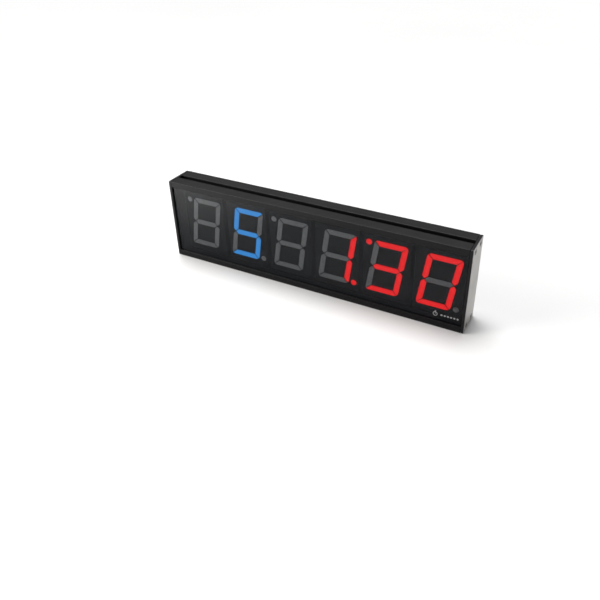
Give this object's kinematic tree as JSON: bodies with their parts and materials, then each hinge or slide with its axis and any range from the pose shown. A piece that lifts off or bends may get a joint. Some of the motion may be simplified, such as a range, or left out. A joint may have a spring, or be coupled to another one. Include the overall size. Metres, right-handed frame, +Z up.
{
  "type": "gym round timer",
  "caption": "Slim black wall timer with large seven-segment digits behind a smoked panel in an extruded case with slotted rails.",
  "frame": {"origin": "under the middle of the case, on the plane of the bottom rail's outer face", "axes": "+X to the viewer's right along the case, +Y into the wall, +Z up; the display faces -Y"},
  "size_m": [0.33, 0.032, 0.09],
  "materials": {
    "rail": "black anodised, fine lengthways extrusion lines, satin",
    "left_plate": "satin brushed outer face with black anodised edges",
    "right_plate": "satin brushed outer face with black anodised edges",
    "panel": "smoked acrylic with a soft sheen",
    "cover": "fine textured black powder coat",
    "screw": "black oxide",
    "standoff": "nickel plated",
    "digit_housing": "matte black digit face",
    "light_bar_off": "unlit grey diffuser",
    "light_bar_blue": "lit blue diffuser",
    "light_bar_red": "lit red diffuser",
    "print": "light grey screen print",
    "board": "green solder mask",
    "chip": "moulded chip resin",
    "can": "tinned can",
    "contact": "plated contact",
    "nylon": "black nylon",
    "plastic": "fine moulded black plastic",
    "red_lead": "red PVC lead",
    "black_lead": "black PVC lead"
  },
  "bodies": {
    "case": {"top_rail": "rail", "bottom_rail": "rail", "left_end_plate": "left_plate", "right_end_plate": "right_plate", "front_panel": "panel", "back_cover": "cover", "left_plate_screw_1": "screw", "left_plate_screw_2": "screw", "left_plate_screw_3": "screw", "left_plate_screw_4": "screw", "right_plate_screw_1": "screw", "right_plate_screw_2": "screw", "right_plate_screw_3": "screw", "right_plate_screw_4": "screw", "cover_screw_1": "screw", "cover_screw_2": "screw", "cover_screw_3": "screw", "cover_screw_4": "screw", "standoff_1": "standoff", "standoff_2": "standoff", "standoff_3": "standoff", "standoff_4": "standoff", "digit_1_housing": "digit_housing", "digit_2_housing": "digit_housing", "digit_3_housing": "digit_housing", "digit_4_housing": "digit_housing", "digit_5_housing": "digit_housing", "digit_6_housing": "digit_housing", "digit_1_light_bars": "light_bar_off", "digit_2_light_bars": "light_bar_blue", "digit_3_light_bars": "light_bar_off", "digit_4_light_bars": "light_bar_red", "digit_5_light_bars": "light_bar_red", "digit_6_light_bars": "light_bar_red", "display_board": "board", "inlet_board": "board", "wireless_module": "can", "led_driver_1": "chip", "led_driver_2": "chip", "led_driver_3": "chip", "regulator_coil": "chip", "beeper": "chip", "filter_capacitor": "can", "power_header": "nylon", "lead_header": "nylon", "power_lead_red": "red_lead", "power_lead_black": "black_lead", "dc_jack_body": "plastic", "dc_jack_pin": "contact", "power_switch_body": "plastic", "pair_switch_body": "plastic"},
    "rocker": {"power_rocker": "plastic"},
    "button": {"pair_button": "plastic"}
  },
  "joints": [
    {"name": "power_rocker_tilt", "type": "hinge", "parent": "case", "child": "rocker", "pos_m": [-0.1612, -0.0032, 0.048], "axis": [0, 1, 0], "range_deg": [-16, 0]},
    {"name": "pair_button_press", "type": "slide", "parent": "case", "child": "button", "axis": [1, 0, 0], "range_m": [0, 0.001], "stiffness_N_per_m": 400}
  ]
}
